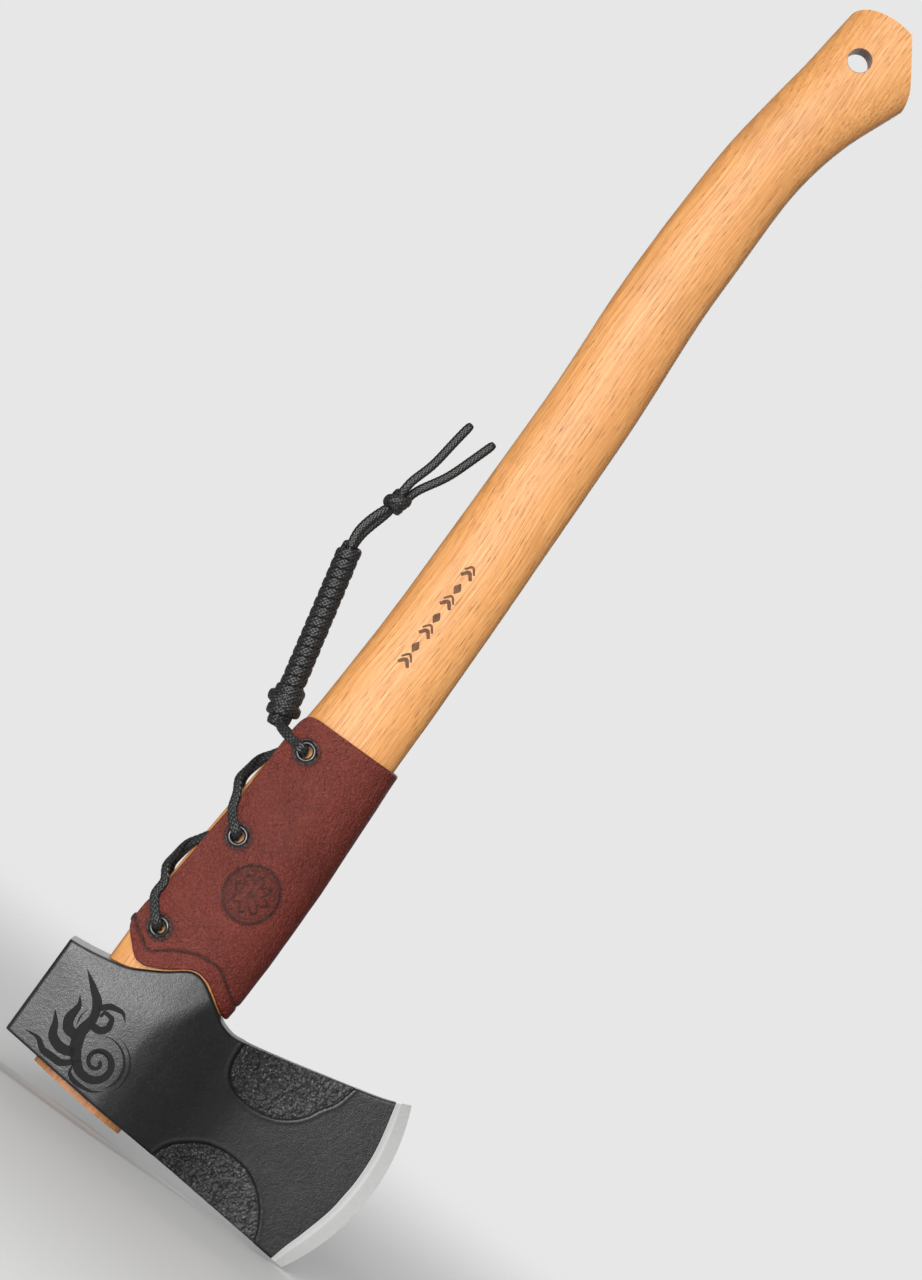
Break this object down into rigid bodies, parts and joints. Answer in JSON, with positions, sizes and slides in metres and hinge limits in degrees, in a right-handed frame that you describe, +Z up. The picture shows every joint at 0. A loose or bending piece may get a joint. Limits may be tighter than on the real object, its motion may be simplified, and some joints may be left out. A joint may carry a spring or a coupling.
{
  "type": "felling axe",
  "caption": "Felling axe: dark forged head with ground bevel on an oval hickory haft, laced leather collar below the head, whipped cord lanyard, knobbed grip end with hanging hole.",
  "frame": {"origin": "centre of the haft's end face, where the tenon is sawn off flush with its wedges at the outer face of the head", "axes": "+X towards the cutting edge, +Y across the thickness of the head, +Z up the haft from the head to the grip knob; left means the -Y side"},
  "size_m": [0.1881, 0.0422, 0.6302],
  "materials": {
    "head_steel": "dark forged scale, satin, with a bright ground bevel along the edge",
    "haft_wood": "oiled straight-grained hickory",
    "wedge_wood": "darker end grain, oiled",
    "wedge_steel": "plain steel, ground flush",
    "collar_leather": "red-brown waxed leather, satin, creased along the lower edge",
    "eyelet_metal": "gloss black, rubbed at the rim",
    "cord_black": "braided black nylon cord"
  },
  "bodies": {
    "axe": {"axe_head": "head_steel", "haft": "haft_wood", "wood_wedge": "wedge_wood", "steel_wedge": "wedge_steel", "leather_collar": "collar_leather", "eyelet_left_lower": "eyelet_metal", "eyelet_right_lower": "eyelet_metal", "eyelet_left_middle": "eyelet_metal", "eyelet_right_middle": "eyelet_metal", "eyelet_left_upper": "eyelet_metal", "eyelet_right_upper": "eyelet_metal", "washer_left_lower": "eyelet_metal", "washer_right_lower": "eyelet_metal", "washer_left_middle": "eyelet_metal", "washer_right_middle": "eyelet_metal", "washer_left_upper": "eyelet_metal", "washer_right_upper": "eyelet_metal", "lace": "cord_black", "lanyard_lead_left": "cord_black", "lanyard_lead_right": "cord_black"},
    "whipping": {"coil_base_turns": "cord_black", "coil_wrap": "cord_black", "coil_core_left": "cord_black", "coil_core_right": "cord_black"},
    "link": {"link_strand_left": "cord_black", "link_strand_right": "cord_black"},
    "knot": {"overhand_knot": "cord_black"},
    "tail_one": {"tail_left": "cord_black"},
    "tail_two": {"tail_right": "cord_black"}
  },
  "joints": [
    {"name": "lanyard_swing", "type": "hinge", "parent": "axe", "child": "whipping", "pos_m": [-0.025, 0, 0.1923], "axis": [0, 1, 0], "range_deg": [-95, 1]},
    {"name": "tassel_swing", "type": "hinge", "parent": "whipping", "child": "link", "pos_m": [-0.0469, 0, 0.2833], "axis": [0, 1, 0], "range_deg": [-60, 1]},
    {"name": "knot_sideways", "type": "hinge", "parent": "link", "child": "knot", "pos_m": [-0.0441, 0, 0.3013], "axis": [1, 0, 0], "range_deg": [-25, 25]},
    {"name": "tail_left_bend", "type": "hinge", "parent": "knot", "child": "tail_one", "pos_m": [-0.0416, -0.0026, 0.317], "axis": [0, 1, 0], "range_deg": [-35, 15]},
    {"name": "tail_right_bend", "type": "hinge", "parent": "knot", "child": "tail_two", "pos_m": [-0.0385, 0.0026, 0.3166], "axis": [0, 1, 0], "range_deg": [-35, 1]}
  ]
}
